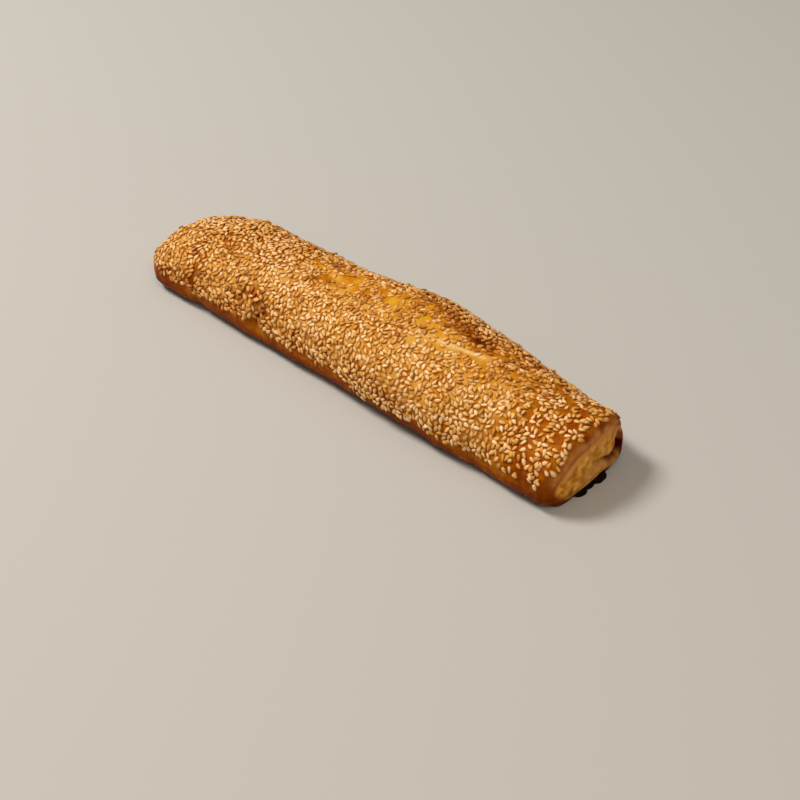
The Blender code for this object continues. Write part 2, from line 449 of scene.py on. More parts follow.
class Painter:
    """Adds nodes to a tree and links them."""

    def __init__(self, tree: bpy.types.NodeTree) -> None:
        """Keeps the tree, emptied of nodes."""
        self.tree = tree
        tree.nodes.clear()

    def add(self, kind: str, inputs: dict[str | int, Any] | None = None, **settings: Any) -> bpy.types.Node:
        """Adds a node.

        Args:
            kind: The node's type.
            inputs: A value or another node's output for each input, by name or number.
            settings: Properties of the node.

        Returns:
            The new node.
        """
        node = self.tree.nodes.new(kind)
        for name, value in settings.items():
            setattr(node, name, value)
        for name, value in (inputs or {}).items():
            if isinstance(value, Socket):
                self.tree.links.new(value, node.inputs[name])
            else:
                node.inputs[name].default_value = value
        return node

    def noise(self, where: Socket, scale: float, detail: float = 3.0) -> Socket:
        """Noise from 0 to 1, with a scale in lumps to the metre."""
        inputs = {"Vector": where, "Scale": scale, "Detail": detail}
        return self.add("ShaderNodeTexNoise", inputs).outputs["Fac"]

    def math(self, operation: str, *values: Any) -> Socket:
        """One step of arithmetic."""
        return self.add("ShaderNodeMath", dict(enumerate(values)), operation=operation).outputs[0]

    def spread(self, value: Socket, low: float, high: float) -> Socket:
        """A value moved from the range low to high onto 0 to 1, held at both ends."""
        inputs = {"Value": value, "From Min": low, "From Max": high}
        return self.add("ShaderNodeMapRange", inputs, clamp=True).outputs["Result"]

    def mix(self, share: Any, first: Any, second: Any) -> Socket:
        """A colour between two, by a share from 0 to 1."""
        inputs = {"Factor": share, 6: opaque(first), 7: opaque(second)}
        return self.add("ShaderNodeMix", inputs, data_type="RGBA").outputs[2]

    def ramp(self, value: Socket, stops: Sequence[tuple[float, Colour]]) -> Socket:
        """A colour that runs through several stops.

        Args:
            value: Where on the ramp, from 0 to 1.
            stops: The place and the colour of each stop, in order.

        Returns:
            The colour.
        """
        node = self.add("ShaderNodeValToRGB", {"Fac": value})
        elements = node.color_ramp.elements
        while len(elements) < len(stops):
            elements.new(1.0)
        for element, (place, colour) in zip(elements, stops):
            element.position = place
            element.color = (*colour, 1.0)
        return node.outputs["Color"]

    def attribute(self, name: str) -> Socket:
        """The value of a mesh attribute."""
        return self.add("ShaderNodeAttribute", attribute_name=name).outputs["Fac"]

    def finish(self, colour: Any, roughness: float, specular: float, **more: Any) -> None:
        """Ends a material's tree in one shader.

        Args:
            colour: Its colour, or another node's colour.
            roughness: Its roughness.
            specular: The strength of its highlights.
            more: Any other inputs of the shader.
        """
        looks = {"Base Color": opaque(colour), "Roughness": roughness, "Specular IOR Level": specular}
        shader = self.add("ShaderNodeBsdfPrincipled", looks | more)
        self.add("ShaderNodeOutputMaterial", {"Surface": shader.outputs["BSDF"]})


def new_material(name: str) -> tuple[bpy.types.Material, Painter]:
    """A material with an empty node tree, and the painter for it.

    Args:
        name: The material's name.

    Returns:
        The material and its painter.
    """
    material = bpy.data.materials.new(name)
    material.use_nodes = True
    return material, Painter(material.node_tree)


def linked(name: str, data: bpy.types.ID | None) -> bpy.types.Object:
    """An object of some data, linked to the scene.

    Args:
        name: The object's name.
        data: Its mesh, lamp or camera.

    Returns:
        The new object.
    """
    thing = bpy.data.objects.new(name, data)
    bpy.context.scene.collection.objects.link(thing)
    return thing


def attach(piece: bpy.types.Object, nodes: Sequence[str] = ()) -> bpy.types.Object:
    """Makes a finished piece ride on the roll's body.

    Args:
        piece: The finished piece.
        nodes: The solids that it stands for.

    Returns:
        The same piece.
    """
    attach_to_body(piece, BODY)
    if nodes:
        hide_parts(*nodes)
    LOG.info("%s: %d faces", piece.name, len(piece.data.polygons))
    return piece


@dataclass(frozen=True)
class CrustFinish:
    """Egg-washed crust: golden where it stretched, brown where it baked most, darker at its foot with
    painted shade, and pale in its folds; near black with juice and painted shade in its gap, crease and
    under the lifted near end.
    """

    pale: Colour = (0.78, 0.39, 0.026)
    golden: Colour = (0.56, 0.198, 0.004)
    brown: Colour = (0.30, 0.056, 0.001)
    dark: Colour = (0.085, 0.013, 0.001)
    stretched: Colour = (0.90, 0.62, 0.25)
    floury: Colour = (0.74, 0.385, 0.080)
    dough: Colour = (0.86, 0.370, 0.040)
    dough_pale: Colour = (0.98, 0.62, 0.18)
    dough_brown: Colour = (0.50, 0.150, 0.008)
    lip: Colour = (0.72, 0.300, 0.085)
    # Near black: baked-on juice in the gap and the fold, and painted shade along the crease and on the wall
    # under the lifted near end.
    juice_and_shade: Colour = (0.070, 0.004, 0.001)
    crumb: Colour = (0.72, 0.50, 0.42)
    roughness: float = 0.44
    specular: float = 0.025
    bake_stops: tuple[float, ...] = (0.08, 0.36, 0.66, 1.0)
    dough_stops: tuple[float, ...] = (0.32, 0.48, 0.72)
    broad_patch: float = 55.0
    broad_strength: float = 0.45
    small_patch: float = 230.0
    small_strength: float = 0.55
    mottle: float = 250.0
    crumb_patch: float = 900.0
    crumb_edge: tuple[float, float] = (0.57, 0.63)
    grain: float = 620.0
    grain_depth: float = 0.00055
    grain_strength: float = 0.8

    def make(self) -> bpy.types.Material:
        """Makes the material.

        Returns:
            A material that reads the masks that Crust.shape stores on the crust's mesh.
        """
        material, paint = new_material("baked_crust")
        where = paint.add("ShaderNodeTexCoord").outputs["Object"]
        broad = paint.noise(where, self.broad_patch)
        small = paint.noise(where, self.small_patch, 4.0)
        mottle = paint.noise(where, self.mottle, 5.0)
        crumbs = paint.noise(where, self.crumb_patch, 3.0)
        grain = paint.noise(where, self.grain, 4.0)
        uneven = paint.attribute("bake")
        for patch, strength in ((broad, self.broad_strength), (small, self.small_strength)):
            uneven = paint.math("MULTIPLY_ADD", paint.math("SUBTRACT", patch, 0.5), strength, uneven)
        shades = (self.pale, self.golden, self.brown, self.dark)
        coloured = paint.ramp(uneven, tuple(zip(self.bake_stops, shades)))
        doughs = (self.dough_brown, self.dough, self.dough_pale)
        dough = paint.ramp(mottle, tuple(zip(self.dough_stops, doughs)))
        layers = {
            "flour": self.floury,
            "stretch": self.stretched,
            "fold": dough,
            "lip": self.lip,
            # The gap layer: baked-on juice, with painted shade along the crease and under the lifted near
            # end.
            "gap": self.juice_and_shade,
        }
        for mask, colour in layers.items():
            coloured = paint.mix(paint.attribute(mask), coloured, colour)
        specks = paint.math("MULTIPLY", paint.spread(crumbs, *self.crumb_edge), paint.attribute("foot"))
        bump = paint.add(
            "ShaderNodeBump",
            {"Strength": self.grain_strength, "Distance": self.grain_depth, "Height": grain},
        )
        crumbed = paint.mix(specks, coloured, self.crumb)
        paint.finish(crumbed, self.roughness, self.specular, Normal=bump.outputs["Normal"])
        return material


class SeedKind(Enum):
    """How far a seed was toasted."""

    CREAM = "cream"
    PALE = "pale"
    GOLDEN = "golden"
    TOASTED = "toasted"


@dataclass(frozen=True)
class SeedFinish:
    """A toasted sesame hull, with painted shade round its rim, and darker towards its tip."""

    light: Colour
    deep: Colour
    # The colour of the darker tip, also used for the painted shade round the rim.
    tip: Colour
    roughness: float = 0.38
    specular: float = 0.28
    mottle: float = 1500.0
    mottle_strength: float = 0.5
    rim_shade_edge: tuple[float, float] = (0.58, 1.18)

    def make(self, kind: SeedKind) -> bpy.types.Material:
        """Makes the material.

        Args:
            kind: The kind of seed, for the material's name.

        Returns:
            A material that reads the attributes tone and rim of the seeds' mesh, and paints shade round each
            seed's rim and a darker tip.
        """
        material, paint = new_material(f"{kind.value}_sesame")
        where = paint.add("ShaderNodeTexCoord").outputs["Object"]
        mottle = paint.math("SUBTRACT", paint.noise(where, self.mottle, 2.0), 0.5)
        tone = paint.math("MULTIPLY_ADD", mottle, self.mottle_strength, paint.attribute("tone"))
        body = paint.mix(paint.spread(tone, 0.0, 1.0), self.light, self.deep)
        # Painted shade round the seed's rim, and a darker tip.
        shaded_rim_and_tip = paint.mix(paint.spread(paint.attribute("rim"), *self.rim_shade_edge), body, self.tip)
        paint.finish(shaded_rim_and_tip, self.roughness, self.specular)
        return material


# The third colour of each kind is its darker tip and the painted shade round its rim.
SEED_FINISHES = {
    SeedKind.CREAM: SeedFinish((0.98, 0.69, 0.38), (0.90, 0.53, 0.21), (0.54, 0.21, 0.028)),
    SeedKind.PALE: SeedFinish((0.94, 0.59, 0.245), (0.78, 0.40, 0.100), (0.43, 0.15, 0.014)),
    SeedKind.GOLDEN: SeedFinish((0.83, 0.43, 0.100), (0.64, 0.26, 0.030), (0.35, 0.10, 0.006)),
    SeedKind.TOASTED: SeedFinish((0.56, 0.22, 0.030), (0.37, 0.10, 0.008), (0.19, 0.040, 0.003)),
}


@dataclass(frozen=True)
class FoldStop:
    """A stop of the fold that curls in under the flap: its place on the face, half width and depth."""

    y: float
    z: float
    half_width: float
    depth: float


@dataclass(frozen=True)
class Patch:
    """A place where the crust baked darker or paler, and how much barer of seeds it is."""

    x: float
    y: float
    half_x: float
    half_y: float
    bake: float
    bare: float = 0.0


PATCHES = (
    Patch(0.043, 0.0140, 0.010, 0.0050, 0.42),
    Patch(0.059, 0.0090, 0.011, 0.0042, 0.58),
    Patch(0.020, 0.0180, 0.012, 0.0060, 0.14),
    Patch(-0.036, -0.0210, 0.0035, 0.0028, 0.34),
    Patch(-0.042, -0.0060, 0.0040, 0.0030, 0.30),
    Patch(-0.071, -0.0300, 0.0040, 0.0040, 0.26),
    Patch(0.027, -0.0175, 0.0028, 0.0024, 0.34),
    Patch(-0.055, -0.0320, 0.0050, 0.0050, 0.40, 0.45),
    Patch(0.1375, -0.0080, 0.0014, 0.0016, 0.22, 0.2),
    Patch(0.1370, 0.0060, 0.0030, 0.0030, 0.24, 0.3),
    Patch(-0.1030, -0.0340, 0.0050, 0.0040, 0.34, 0.6),
    Patch(0.056, -0.0310, 0.0060, 0.0045, -0.26, 0.75),
    Patch(0.068, -0.0280, 0.0050, 0.0035, -0.24, 0.65),
    Patch(-0.013, -0.0080, 0.0090, 0.0030, -0.16, 0.55),
    Patch(-0.045, 0.0036, 0.0120, 0.0045, -0.24, 0.50),
    Patch(0.030, -0.0010, 0.0240, 0.0060, -0.14, 0.35),
)


def patched(x: Any, y: Any, strength: str) -> Any:
    """The sum of one strength of all patches.

    Args:
        x: A place along the roll, or an array of them.
        y: The place across the roll, or an array of them.
        strength: Which strength, bake or bare.

    Returns:
        The sum at each place.
    """
    return sum(
        getattr(patch, strength) * bell((x - patch.x) / patch.half_x) * bell((y - patch.y) / patch.half_y)
        for patch in PATCHES
    )


@dataclass(frozen=True)
class Browning:
    """How brown the crust is: baked most at its back and least along its crown, and at its foot browner from
    baking and darker from painted shade under the tucked-in foot.
    """

    even: float = 0.57
    crown: float = 0.25
    # The terms for the foot and the very bottom darken the crust near the board: partly browner baking,
    # partly painted shade under the tucked-in foot.
    foot: float = 0.22
    back: float = 0.14
    near: float = 0.04
    burnt_and_shade: float = 0.16
    uneven: float = 0.15
    lump: float = 0.021
    crown_height: Fade = Fade(0.026, 0.010)
    crown_length: Band = Band(Fade(-0.070, 0.050), Fade(0.120, -0.030))
    foot_height: Fade = Fade(0.014, -0.010)
    back_side: Fade = Fade(0.010, 0.014)
    near_length: Fade = Fade(0.118, 0.012)
    burnt_and_shade_height: Fade = Fade(0.0050, -0.004)
    patch_height: Fade = Fade(0.012, 0.006)

    def at(self, points: np.ndarray) -> np.ndarray:
        """How brown the crust is at each point, from 0 to about 1.

        Args:
            points: Points of the crust.

        Returns:
            One value for each point.
        """
        x, y, z = axes(points)
        back = self.back_side.at(y)
        crown = self.crown_height.at(z) * self.crown_length.at(x) * (1 - back)
        # Browner at the foot and the very bottom: partly baking, partly painted shade under the tucked-in
        # foot.
        baked = self.even - self.crown * crown + self.foot * self.foot_height.at(z) + self.back * back
        baked = baked + self.near * self.near_length.at(x) + self.burnt_and_shade * self.burnt_and_shade_height.at(z)
        baked = baked + self.uneven * noise_at(points, self.lump, (1.4, 6.3, 2.2))
        return baked + patched(x, y, "bake") * self.patch_height.at(z)


@dataclass(frozen=True)
class NearEnd:
    """How the near end's edges were tucked, turned and lifted when it was folded."""

    tuck: float = 0.0022
    tuck_reach: float = 0.020
    tuck_side: Fade = Fade(0.008, 0.010)
    tuck_height: Fade = Fade(0.025, -0.006)
    turn: float = 0.0032
    turn_reach: float = 0.010
    turn_side: Fade = Fade(-0.020, -0.013)
    turn_height: Fade = Fade(0.026, -0.014)
    lift: float = 0.0015
    lift_side: Hill = Hill(0.0055, 0.0062)
    lift_height: float = 0.010
    ledge: float = 0.0050
    ledge_fade: float = 0.0008
    foot_reach: float = 0.020
    foot_start: Fade = Fade(0.0001, 0.0004)
    foot_width: Band = Band(Fade(-0.030, 0.006), Fade(0.020, -0.006))
    # Where the wall under the lifted edge is painted with shade.
    hollow_start: Fade = Fade(0.0001, 0.0002)
    hollow_length: Fade = Fade(0.120, 0.005)
    hollow_width: Band = Band(Fade(-0.0160, 0.004), Fade(0.0110, -0.004))

    def settled(self, points: np.ndarray, end: float) -> np.ndarray:
        """Tucks and turns the end's corners, and sets its foot below the lifted edge.

        Args:
            points: Points of the crust.
            end: Where the end lies along X.

        Returns:
            The moved points.
        """
        x, y, z = axes(points)
        before = end - x
        tucked = smooth(1 - before / self.tuck_reach) * self.tuck_side.at(y) * self.tuck_height.at(z)
        close = smooth(1 - before / self.turn_reach)
        moved = points.copy()
        moved[..., 0] -= self.turn * close * self.turn_side.at(y) * self.turn_height.at(z)
        moved[..., 1] -= self.tuck * tucked
        lifted = self.lift_side.at(y) * close * smooth(1 - z / self.lift_height)
        under = (before < self.foot_reach) * (z < self.ledge)
        footed = self.foot_start.at(before) * under * self.foot_width.at(y)
        moved[..., 2] = np.maximum((z + self.lift * lifted) * (1 - footed), 0.0)
        return moved

    def hollow_shade(self, points: np.ndarray, end: float) -> np.ndarray:
        """1 where painted shade darkens the wall under the end's lifted edge, and 0 away from it.

        Args:
            points: Points of the crust.
            end: Where the end lies along X.

        Returns:
            One value for each point.
        """
        x, y, z = axes(points)
        behind = self.hollow_start.at(end - x) * self.hollow_length.at(x)
        return self.hollow_width.at(y) * behind * Fade(self.ledge, -self.ledge_fade).at(z)


@dataclass
class Crust:
    """The dough's skin as a fine mesh of rings, which stands for the roll's solid."""

    form: RollForm
    finish: CrustFinish = CrustFinish()
    browning: Browning = Browning()
    near_end: NearEnd = NearEnd()
    columns: int = 190
    body_rings: int = 400
    corner_rings: int = 15
    face_rings: int = 38
    face_spacing: float = 0.8
    outline_steps: int = 4001
    underside_share: float = 0.30
    resting_height: float = 0.0002
    skin_lump: float = 0.0042
    skin_relief: float = 0.00028
    curl: tuple[FoldStop, ...] = (
        FoldStop(0.0186, 0.0185, 0.0009, 0.0003),
        FoldStop(0.0202, 0.0130, 0.0013, 0.0010),
        FoldStop(0.0196, 0.0100, 0.0022, 0.0040),
        FoldStop(0.0160, 0.0092, 0.0024, 0.0040),
        FoldStop(0.0105, 0.0092, 0.0016, 0.0030),
        FoldStop(0.0035, 0.0135, 0.0010, 0.0014),
        FoldStop(-0.0050, 0.0166, 0.0007, 0.0006),
    )
    curl_full_depth: float = 0.0030
    streak_x: float = 0.055
    streak_reach: float = 0.018
    streak_ridge: float = 0.0005
    streak_power: float = 2.2
    streak_least: float = 0.16
    streak_blotches: Blotches = Blotches(0.9, 1.6, (0.016, 0.006, 0.016), (4.4, 0.3, 8.8))
    grain_lump: float = 0.0015
    grain_relief: float = 0.00007
    face_edge: Fade = Fade(1.02, -0.10)
    sheet_fade: float = 0.002
    sheet_side: Fade = Fade(-0.013, 0.008)
    lip_turn: float = 0.3
    lip_width: Band = Band(Fade(0.72, 0.16), Fade(1.12, -0.08))
    lip_blotches: Blotches = Blotches(0.62, 0.9, 0.0045, (6.1, 2.4, 0.9))
    lip_most: float = 0.85
    dough_blotches: Blotches = Blotches(0.80, 0.9, 0.0040, (0.4, 7.2, 3.3))
    wrap_slope: float = 0.9
    wrap_side: float = 0.030
    wrap_height: Fade = Fade(0.009, 0.006)
    stain_drop: float = 0.0010
    stain_width: float = 1.7
    # Painted shade along the crease under the top sheet.
    crease_shade: float = 0.45
    crease_width: float = 0.030
    crease_side: Fade = Fade(0.004, -0.012)
    gap_stain: float = 0.12
    gap_width: float = 0.06
    foot_height: Fade = Fade(0.0065, -0.004)
    flour: float = 0.74
    flour_side: Fade = Fade(0.002, -0.014)
    flour_height: Fade = Fade(0.015, 0.007)
    flour_length: Fade = Fade(0.110, -0.030)
    flour_blotches: Blotches = Blotches(0.55, 1.5, 0.012, (9.4, 3.1, 5.2))

    def angles(self) -> np.ndarray:
        """Directions round the section, evenly spaced along the outline and sparser underneath.

        Returns:
            One angle for each column of the mesh.
        """
        fine = np.linspace(-np.pi / 2, 3 * np.pi / 2, self.outline_steps)
        point, _ = self.form.outline(np.array([[0.0]]), np.array([[1.0]]), fine[None, :])
        step = np.linalg.norm(np.diff(point[0], axis=0), axis=-1)
        step = step * np.where(point[0, 1:, 2] < 1e-5, self.underside_share, 1.0)
        run = np.concatenate(([0.0], np.cumsum(step)))
        return np.interp(np.arange(self.columns) * run[-1] / self.columns, run, fine)

    def end_rows(self, end: int) -> list[tuple[float, float, float]]:
        """Rings of one end.

        Args:
            end: 1 for the near end and -1 for the far end.

        Returns:
            The place, share and tilt of each ring, from the middle of the face outwards.
        """
        corner = self.form.near_corner if end > 0 else self.form.far_corner
        rim = float(self.form.face_rim(np.array(end)))
        tip = end * self.form.length / 2
        shares = [(step / self.face_rings) ** self.face_spacing for step in range(1, self.face_rings)]
        rows = [(tip, share * rim, end * math.pi / 2) for share in shares]
        for step in range(self.corner_rings + 1):
            tilt = math.pi / 2 * (1 - step / self.corner_rings)
            share = rim + (1 - rim) * math.cos(tilt)
            rows.append((tip - end * corner * (1 - math.sin(tilt)), share, end * tilt))
        return rows

    def rows(self) -> np.ndarray:
        """The place, share and tilt of every ring, from the far end to the near end.

        Returns:
            A row of three numbers for each ring.
        """
        far = self.end_rows(-1)
        near = self.end_rows(1)
        body = np.linspace(far[-1][0], near[-1][0], self.body_rings + 1)[1:-1]
        return np.array(far + [(x, 1.0, 0.0) for x in body] + near[::-1])

    def skin(self, points: np.ndarray) -> np.ndarray:
        """Height of the skin's own fine relief at each point.

        Args:
            points: Points of the crust.

        Returns:
            One value for each point.
        """
        wrinkle = noise_at(points, self.skin_lump, (8.2, 1.1, 4.5))
        grain = noise_at(points, self.grain_lump, (2.2, 9.1, 0.5))
        return self.skin_relief * wrinkle + self.grain_relief * grain

    def curled(self, points: np.ndarray, widened: float = 1.0) -> np.ndarray:
        """How deep the fold that curls in under the near end's flap lies.

        Args:
            points: Points of the near end face.
            widened: How many times as wide as the fold itself.

        Returns:
            The depth at each point.
        """
        depth = np.zeros(points.shape[:-1])
        for first, second in zip(self.curl, self.curl[1:]):
            run = np.array([second.y - first.y, second.z - first.z])
            away = points[..., 1:] - np.array([first.y, first.z])
            share = np.clip(away @ run / (run @ run), 0.0, 1.0)
            distance = np.linalg.norm(away - share[..., None] * run, axis=-1)
            half_width = widened * (first.half_width + share * (second.half_width - first.half_width))
            deepest = first.depth + share * (second.depth - first.depth)
            depth = np.maximum(depth, deepest * bell(distance / half_width))
        return depth

    def lipped(self, points: np.ndarray, angle: np.ndarray, share: np.ndarray) -> np.ndarray:
        """How far a point of an end face is on the smooth lip or on the sheet under the fold.

        Args:
            points: Points of the end faces.
            angle: Directions round the section, as a row.
            share: How far out to the face's rim each ring lies, as a column.

        Returns:
            A share from 0 to 1 for each point.
        """
        stops = sorted(self.curl[1:], key=lambda stop: stop.y)
        line = np.interp(points[..., 1], [stop.y for stop in stops], [stop.z for stop in stops])
        sheet = smooth((line - points[..., 2]) / self.sheet_fade) * self.sheet_side.at(points[..., 1])
        blotch = self.lip_blotches.at(points)
        lip = smooth(np.sin(angle) / self.lip_turn) * self.lip_width.at(share)
        return np.clip((lip + sheet * self.face_edge.at(share)) * blotch, 0.0, self.lip_most)

    def shape(self) -> None:
        """Works out the rings' points, the way out at each, and the masks for the finish."""
        rows = self.rows()
        x, share, tilt = (rows[:, [column]] for column in range(3))
        angle = self.angles()[None, :]
        self.row_tilt = rows[:, 2]
        points = self.form.surface(x, share, tilt, angle)
        face = facing(tilt)
        curl = self.curled(points) * face * (x > 0)
        relief = self.skin(points) + self.streak_ridge * self.stretched(points) - curl
        lifted = points + self.ring_normals(points) * relief[..., None]
        flat = points[..., 2] < self.form.section(x).lift + self.resting_height
        points = np.where(flat[..., None], points, lifted)
        self.points = self.near_end.settled(points, self.form.length / 2)
        self.normals = self.ring_normals(self.points)
        self.masks = self.masked(self.points, x, share / self.form.face_rim(x), angle, face)

    def masked(
        self, points: np.ndarray, x: np.ndarray, rim: np.ndarray, angle: np.ndarray, face: np.ndarray
    ) -> dict[str, np.ndarray]:
        """Where each layer of the finish shows.

        Args:
            points: Points of the crust.
            x: Places along the roll, as a column.
            rim: How far out to an end face's rim each ring lies, as a column.
            angle: Directions round the section, as a row.
            face: 1 on an end face and 0 on the long faces, as a column.

        Returns:
            A share from 0 to 1 for each point, by the layer's name.
        """
        _, y, z = axes(points)
        patchy = self.dough_blotches.at(points)
        wrap = self.wrap_height.at(z + self.wrap_slope * (y + self.wrap_side))
        wrapped = np.where(x > 0, wrap, 1.0)
        drop = np.array([0.0, self.stain_drop, 0.0])
        stain = self.curled(points - drop, self.stain_width) / self.curl_full_depth
        # Painted shade along the crease on the near end face.
        crease = self.form.crease_at(angle, rim, self.crease_width) * self.crease_side.at(y)
        gap = self.gap_stain * self.form.gap_at(angle, rim, self.gap_width)
        gap = gap + stain + self.crease_shade * crease
        # Painted shade on the wall under the near end's lifted edge.
        hollow_shade = self.near_end.hollow_shade(points, self.form.length / 2)
        return {
            "bake": self.browning.at(points),
            "stretch": self.stretched(points),
            "flour": self.floury(points),
            "fold": self.face_edge.at(rim) * wrapped * np.clip(patchy, 0.0, 1.0),
            "lip": wrapped * self.lipped(points, angle, rim),
            "gap": np.clip(face * gap * (x > 0) + hollow_shade, 0.0, 1.0),
            "foot": self.foot_height.at(z) * (1 - face) * (1 - hollow_shade),
        }

    def ring_normals(self, points: np.ndarray) -> np.ndarray:
        """Unit vectors out of the surface, from the rings on either side of each point.

        Args:
            points: Points of the crust, ring by ring.

        Returns:
            One vector for each point.
        """
        along = np.gradient(points, axis=0)
        around = np.roll(points, -1, axis=1) - np.roll(points, 1, axis=1)
        out = np.cross(around, along)
        return out / np.maximum(np.linalg.norm(out, axis=-1, keepdims=True), 1e-12)

    def stretched(self, points: np.ndarray) -> np.ndarray:
        """How far the crust is stretched and pale at each point, from 0 to 1.

        Args:
            points: Points of the crust.

        Returns:
            One value for each point.
        """
        patch = smooth(self.streak_blotches.at(points))
        brightest = Hill(self.streak_x, self.streak_reach).at(points[..., 0])
        strength = self.streak_least + (1 - self.streak_least) * brightest
        return self.form.stretch_share(points) ** self.streak_power * patch * strength

    def floury(self, points: np.ndarray) -> np.ndarray:
        """How matt and pale the crust between the seeds is at each point, which is so along the front.

        Args:
            points: Points of the crust.

        Returns:
            One value for each point.
        """
        x, y, z = axes(points)
        patch = self.flour * smooth(self.flour_blotches.at(points))
        return patch * self.flour_side.at(y) * self.flour_height.at(z) * self.flour_length.at(x)

    def build(self) -> bpy.types.Object:
        """Makes the crust's mesh and dresses it.

        Returns:
            The crust, riding on the roll's body in the place of its solid.
        """
        count, columns = self.points.shape[:2]
        flat = self.points.reshape(-1, 3)
        poles = np.array([self.points[0].mean(0), self.points[-1].mean(0)])
        ring = np.arange(columns)
        faces: list[tuple[int, ...]] = []
        for row in range(count - 1):
            here = row * columns + ring
            after = row * columns + (ring + 1) % columns
            corners = (here, after, after + columns, here + columns)
            faces += zip(*(corner.tolist() for corner in corners))
        last = (count - 1) * columns
        for step in range(columns):
            after = (step + 1) % columns
            faces.append((after, step, count * columns))
            faces.append((last + step, last + after, count * columns + 1))
        mesh = bpy.data.meshes.new("baked_crust")
        mesh.from_pydata(np.concatenate((flat, poles)).tolist(), [], faces)
        for name, values in self.masks.items():
            store = mesh.attributes.new(name, "FLOAT", "POINT")
            ends = [values[0].mean(), values[-1].mean()]
            store.data.foreach_set("value", np.concatenate((values.reshape(-1), ends)).astype(np.float32))
        mesh.shade_smooth()
        mesh.materials.append(self.finish.make())
        return attach(linked("baked_crust", mesh), (NODE,))


@dataclass(frozen=True)
class JuiceShadeLump:
    """A dark lump at the near end's foot, of baked-on juice and painted shade: its middle on the board, its
    half sizes and its height.
    """

    x: float
    y: float
    half_x: float
    half_y: float
    height: float


@dataclass
class JuiceShadeLumps:
    """Dark lumps under the near end's lifted edge: baked-on juice that ran out, and painted shade of the
    hollows beneath the edge.
    """

    juice_shade_lumps: tuple[JuiceShadeLump, ...] = (
        JuiceShadeLump(0.1370, 0.0040, 0.0036, 0.0054, 0.0030),
        JuiceShadeLump(0.1366, -0.0030, 0.0027, 0.0056, 0.0022),
        JuiceShadeLump(0.1368, -0.0097, 0.0033, 0.0046, 0.0026),
    )
    rings: int = 14
    columns: int = 40
    top_rise: float = math.radians(86)
    ripple: float = 0.10
    ripple_lump: float = 0.0030
    # Near black: painted shade of the hollows under the lifted edge, and baked-on juice.
    colour: Colour = (0.006, 0.002, 0.002)
    roughness: float = 0.5
    specular: float = 0.05

    def points(self, juice_shade_lump: JuiceShadeLump) -> np.ndarray:
        """Points of one lump, ring by ring from its foot to its top.

        Args:
            juice_shade_lump: The lump's place and sizes.

        Returns:
            The points, by ring and column.
        """
        rise = np.linspace(0.0, self.top_rise, self.rings)[:, None]
        angle = np.linspace(0.0, 2 * np.pi, self.columns, endpoint=False)[None, :]
        across = juice_shade_lump.half_x * np.cos(rise) * np.cos(angle)
        aside = juice_shade_lump.half_y * np.cos(rise) * np.sin(angle)
        up = np.broadcast_to(juice_shade_lump.height * np.sin(rise), across.shape)
        ball = np.stack((across, aside, up), -1)
        middle = np.array([juice_shade_lump.x, juice_shade_lump.y, 0.0])
        swell = 1 + self.ripple * noise_at(ball + middle, self.ripple_lump, (5.5, 0.8, 2.9))
        return middle + ball * swell[..., None]

    def build(self) -> bpy.types.Object:
        """Makes the lumps.

        Returns:
            The lumps as one piece, riding on the roll's body.
        """
        points: list[list[float]] = []
        faces: list[tuple[int, ...]] = []
        for juice_shade_lump in self.juice_shade_lumps:
            start = len(points)
            points += self.points(juice_shade_lump).reshape(-1, 3).tolist()
            foot = [start + step for step in range(self.columns)]
            top = [step + (self.rings - 1) * self.columns for step in foot]
            faces += [tuple(reversed(foot)), tuple(top)]
            for row in range(self.rings - 1):
                here = [step + row * self.columns for step in foot]
                after = here[1:] + here[:1]
                faces += [(a, b, b + self.columns, a + self.columns) for a, b in zip(here, after)]
        mesh = bpy.data.meshes.new("juice_and_shade_lumps")
        mesh.from_pydata(points, [], faces)
        mesh.shade_smooth()
        material, paint = new_material("juice_and_shade_lumps")
        paint.finish(self.colour, self.roughness, self.specular)
        mesh.materials.append(material)
        return attach(linked("juice_and_shade_lumps", mesh))


@dataclass
class SeedPlace:
    """Where a seed lies: its middle, its turn as Euler angles, its size, its tone and its kind."""

    middle: Vector
    turn: tuple[float, float, float]
    size: float
    tone: float
    kind: SeedKind


